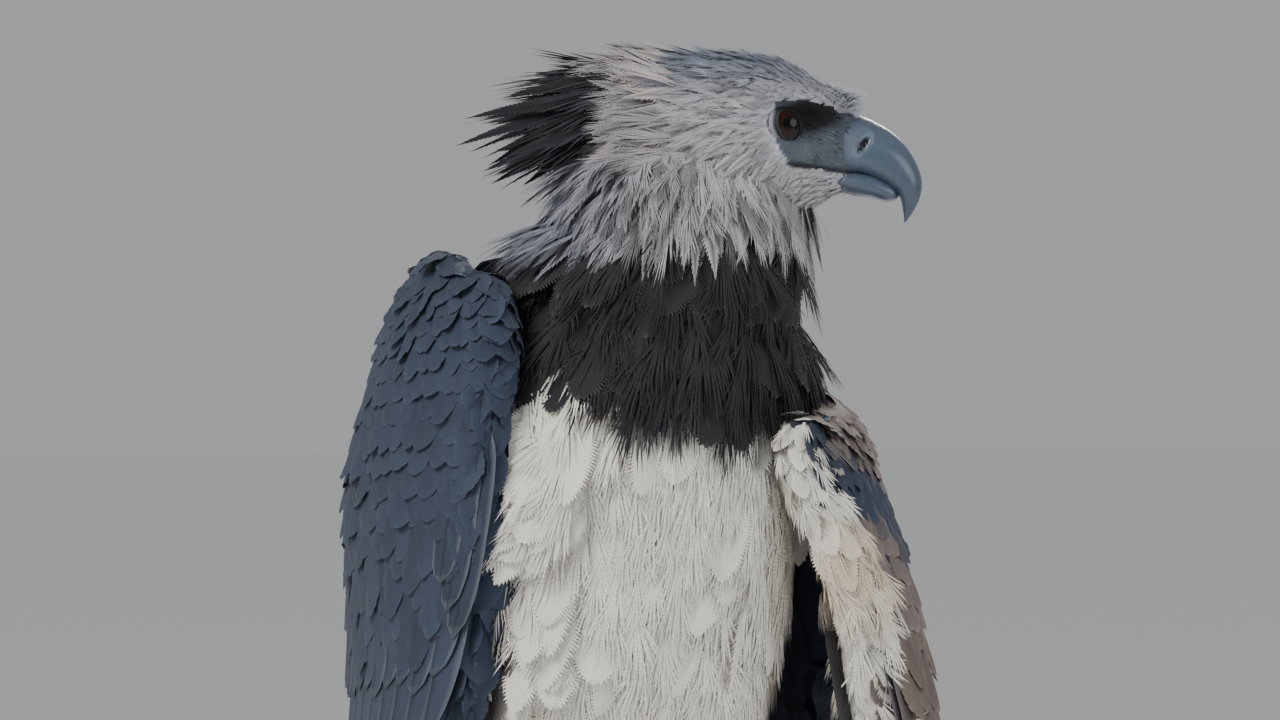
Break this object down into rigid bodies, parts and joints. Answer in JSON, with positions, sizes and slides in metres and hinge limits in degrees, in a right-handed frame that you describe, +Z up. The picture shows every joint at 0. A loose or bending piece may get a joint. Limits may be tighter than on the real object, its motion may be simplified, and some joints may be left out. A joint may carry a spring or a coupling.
{
  "type": "harpy eagle model",
  "caption": "Life-size standing harpy eagle with its head turned aside, long crest, hooked bill, drooping wings, barred tail and heavy taloned feet.",
  "frame": {"origin": "centre of the model's box, at floor level under the feet", "axes": "+Z up; the chest faces -Y and the tail +Y; the bird's left side, to which the head is turned, is +X"},
  "size_m": [0.3218, 0.4998, 0.7994],
  "materials": {
    "breast_feathers": "soft white feathers",
    "thigh_feathers": "soft white feathers with fine dark bars",
    "neck_feathers": "grey feathers over a blackish chest band",
    "head_feathers": "soft grey feathers, dark crest",
    "wing_feathers": "slate-black feathers, faint pale edges",
    "tail_feathers": "blackish feathers with broad grey bands",
    "bill_horn": "slate-grey horn, smooth",
    "claw_horn": "black horn, smooth",
    "eye": "dark brown, wet gloss",
    "leg_scales": "yellow scaled skin"
  },
  "bodies": {
    "root": {"bill_lower": "bill_horn", "bill_upper": "bill_horn", "claw_left_hind": "claw_horn", "claw_left_inner": "claw_horn", "claw_left_middle": "claw_horn", "claw_left_outer": "claw_horn", "claw_right_hind": "claw_horn", "claw_right_inner": "claw_horn", "claw_right_middle": "claw_horn", "claw_right_outer": "claw_horn", "eye_left": "eye", "eye_right": "eye", "foot_left": "leg_scales", "foot_right": "leg_scales", "head": "head_feathers", "neck": "neck_feathers", "tail": "tail_feathers", "tarsus_left": "leg_scales", "tarsus_right": "leg_scales", "thigh_left": "thigh_feathers", "thigh_right": "thigh_feathers", "torso": "breast_feathers", "wing_left_arm": "wing_feathers", "wing_left_hand": "wing_feathers", "wing_left_secondaries": "wing_feathers", "wing_right_arm": "wing_feathers", "wing_right_hand": "wing_feathers", "wing_right_secondaries": "wing_feathers"}
  },
  "joints": []
}
